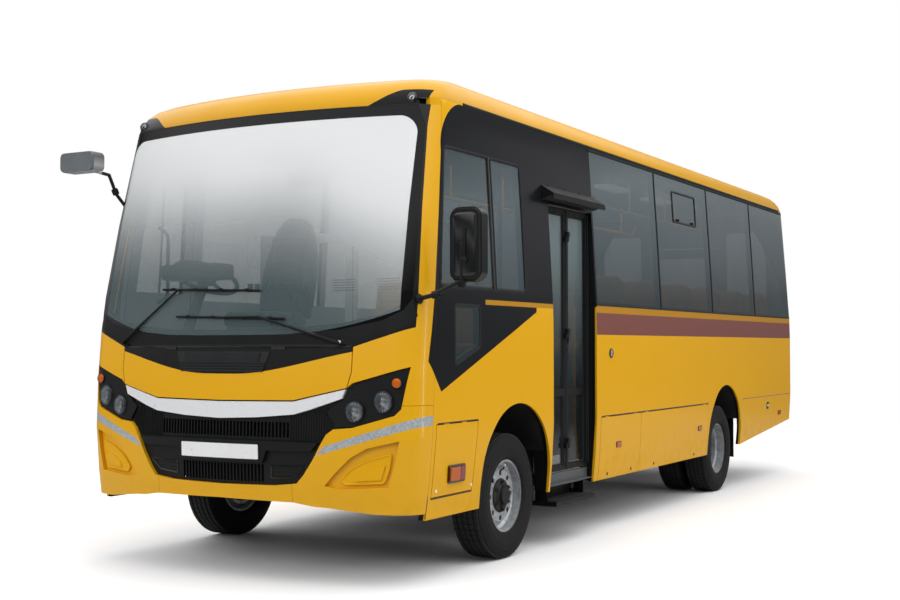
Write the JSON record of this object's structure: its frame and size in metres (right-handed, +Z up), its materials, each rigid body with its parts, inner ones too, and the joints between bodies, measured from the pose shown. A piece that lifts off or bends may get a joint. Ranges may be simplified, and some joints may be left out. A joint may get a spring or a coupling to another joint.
{
  "type": "school bus",
  "caption": "Flat-front school bus with a folding entry door, large tinted side windows, hinged service flaps, steered front wheels and twin rear wheels.",
  "frame": {"origin": "on the ground below the middle of the bus's overall box", "axes": "+X to the bus's own left, the side with the entry door; +Y to its rear; +Z up"},
  "size_m": [3.09, 8.176, 3.058],
  "materials": {
    "body_paint": "gloss",
    "tinted_glass": "polished",
    "clear_glass": "polished",
    "tyre_rubber": "matte",
    "wheel_steel": "satin",
    "chassis_paint": "satin",
    "black_plastic": "satin",
    "bright_trim": "polished",
    "lamp_plastic": "gloss",
    "lamp_units": "gloss",
    "door_aluminium": "satin",
    "step_aluminium": "satin",
    "floor_vinyl": "satin",
    "engine_iron": "matte",
    "tank_steel": "satin",
    "exhaust_steel": "satin",
    "cab_plastic": "matte",
    "driver_cloth": "matte",
    "seat_vinyl": "satin",
    "frame_steel": "satin"
  },
  "bodies": {
    "bus_body": {"side_wall_left": "body_paint", "side_wall_right": "body_paint", "roof": "body_paint", "front_mask": "body_paint", "windshield": "clear_glass", "front_bumper": "body_paint", "nose_strip": "bright_trim", "tail_panel": "body_paint", "tail_lamps": "lamp_plastic", "window_panes": "tinted_glass", "rear_bumper": "black_plastic", "entry_portal": "black_plastic", "entry_steps": "step_aluminium", "floor": "floor_vinyl", "wheel_boxes": "chassis_paint", "chassis_frame": "chassis_paint", "leaf_springs": "chassis_paint", "front_axle_beam": "chassis_paint", "rear_axle": "chassis_paint", "engine_block": "engine_iron", "engine_cover": "cab_plastic", "fuel_tank": "tank_steel", "exhaust": "exhaust_steel", "mud_flaps": "black_plastic", "dashboard": "cab_plastic", "driver_seat": "driver_cloth", "driver_screen": "frame_steel", "passenger_seats": "seat_vinyl", "grille": "black_plastic", "headlamps": "lamp_units", "mirrors": "black_plastic", "cowl_and_wipers": "black_plastic"},
    "service_flap": {"service_flap": "body_paint"},
    "driver_door": {"driver_door": "body_paint", "driver_door_glass": "tinted_glass"},
    "access_flap": {"access_flap": "body_paint"},
    "skirt_flap_left_front": {"skirt_flap_left_front": "body_paint"},
    "skirt_flap_left_rear": {"skirt_flap_left_rear": "body_paint"},
    "skirt_flap_right_front": {"skirt_flap_right_front": "body_paint"},
    "skirt_flap_right_rear": {"skirt_flap_right_rear": "body_paint"},
    "entry_door_front": {"entry_door_front": "door_aluminium", "entry_door_front_glass": "clear_glass"},
    "entry_door_rear": {"entry_door_rear": "door_aluminium", "entry_door_rear_glass": "clear_glass"},
    "emergency_door": {"emergency_door": "body_paint", "emergency_door_glass": "tinted_glass"},
    "roof_hatch": {"roof_hatch": "body_paint"},
    "knuckle_left": {"steering_knuckle_left": "chassis_paint"},
    "knuckle_right": {"steering_knuckle_right": "chassis_paint"},
    "tie_rod": {"tie_rod": "chassis_paint"},
    "wheel_front_left": {"tyre_front_left": "tyre_rubber", "rim_front_left": "wheel_steel"},
    "wheel_front_right": {"tyre_front_right": "tyre_rubber", "rim_front_right": "wheel_steel"},
    "wheel_rear_left": {"tyres_rear_left": "tyre_rubber", "rim_rear_left": "wheel_steel"},
    "wheel_rear_right": {"tyres_rear_right": "tyre_rubber", "rim_rear_right": "wheel_steel"},
    "steering_wheel": {"steering_wheel": "black_plastic"}
  },
  "joints": [
    {"name": "steer_left", "type": "hinge", "parent": "bus_body", "child": "knuckle_left", "pos_m": [0.915, -2.66, 0.3915], "axis": [0, 0, 1], "range_deg": [-38, 38]},
    {"name": "steer_right", "type": "hinge", "parent": "bus_body", "child": "knuckle_right", "pos_m": [-0.915, -2.66, 0.3915], "axis": [0, 0, 1], "range_deg": [-38, 38]},
    {"name": "tie_rod_joint", "type": "hinge", "parent": "knuckle_left", "child": "tie_rod", "pos_m": [0.915, -2.495, 0.2675], "axis": [0, 0, 1], "range_deg": [-38, 38]},
    {"name": "hand_wheel", "type": "hinge", "parent": "bus_body", "child": "steering_wheel", "pos_m": [-0.69, -3.39, 1.775], "axis": [0, 0.4384, 0.8988], "range_deg": [-540, 540]},
    {"name": "roll_front_left", "type": "hinge", "parent": "knuckle_left", "child": "wheel_front_left", "pos_m": [1.044, -2.66, 0.3915], "axis": [1, 0, 0], "continuous": true},
    {"name": "roll_front_right", "type": "hinge", "parent": "knuckle_right", "child": "wheel_front_right", "pos_m": [-1.044, -2.66, 0.3915], "axis": [1, 0, 0], "continuous": true},
    {"name": "roll_rear_left", "type": "hinge", "parent": "bus_body", "child": "wheel_rear_left", "pos_m": [0.913, 1.64, 0.3915], "axis": [1, 0, 0], "continuous": true},
    {"name": "roll_rear_right", "type": "hinge", "parent": "bus_body", "child": "wheel_rear_right", "pos_m": [-0.913, 1.64, 0.3915], "axis": [1, 0, 0], "continuous": true},
    {"name": "entry_front_hinge", "type": "hinge", "parent": "bus_body", "child": "entry_door_front", "pos_m": [1.122, -2.107, 1.4], "axis": [0, 0, 1], "range_deg": [0, 85]},
    {"name": "entry_fold", "type": "hinge", "parent": "entry_door_front", "child": "entry_door_rear", "pos_m": [1.156, -1.7575, 1.4], "axis": [0, 0, 1], "range_deg": [-170, 0]},
    {"name": "driver_door_hinge", "type": "hinge", "parent": "bus_body", "child": "driver_door", "pos_m": [-1.231, -3.692, 1.5], "axis": [0, 0, 1], "range_deg": [0, 70]},
    {"name": "emergency_door_hinge", "type": "hinge", "parent": "bus_body", "child": "emergency_door", "pos_m": [-0.4126, 4.077, 1.6], "axis": [0, 0, 1], "range_deg": [0, 110]},
    {"name": "service_flap_hinge", "type": "hinge", "parent": "bus_body", "child": "service_flap", "pos_m": [0, -4.059, 1.3364], "axis": [-1, 0, 0], "range_deg": [0, 60]},
    {"name": "access_flap_hinge", "type": "hinge", "parent": "bus_body", "child": "access_flap", "pos_m": [1.2165, -3.45, 0.8915], "axis": [0, -1, 0], "range_deg": [0, 80]},
    {"name": "roof_hatch_hinge", "type": "hinge", "parent": "bus_body", "child": "roof_hatch", "pos_m": [0, -0.472, 3.0015], "axis": [1, 0, 0], "range_deg": [0, 40]},
    {"name": "skirt_left_front_hinge", "type": "hinge", "parent": "bus_body", "child": "skirt_flap_left_front", "pos_m": [1.2165, -0.911, 0.8185], "axis": [0, -1, 0], "range_deg": [0, 80]},
    {"name": "skirt_left_rear_hinge", "type": "hinge", "parent": "bus_body", "child": "skirt_flap_left_rear", "pos_m": [1.2165, 0.316, 0.8185], "axis": [0, -1, 0], "range_deg": [0, 80]},
    {"name": "skirt_right_front_hinge", "type": "hinge", "parent": "bus_body", "child": "skirt_flap_right_front", "pos_m": [-1.2165, -0.911, 0.8185], "axis": [0, 1, 0], "range_deg": [0, 80]},
    {"name": "skirt_right_rear_hinge", "type": "hinge", "parent": "bus_body", "child": "skirt_flap_right_rear", "pos_m": [-1.2165, 0.316, 0.8185], "axis": [0, 1, 0], "range_deg": [0, 80]}
  ],
  "couplings": [
    {"joint": "steer_right", "follows": "steer_left", "ratio": 1},
    {"joint": "tie_rod_joint", "follows": "steer_left", "ratio": -1},
    {"joint": "hand_wheel", "follows": "steer_left", "ratio": 14},
    {"joint": "entry_fold", "follows": "entry_front_hinge", "ratio": -2}
  ]
}
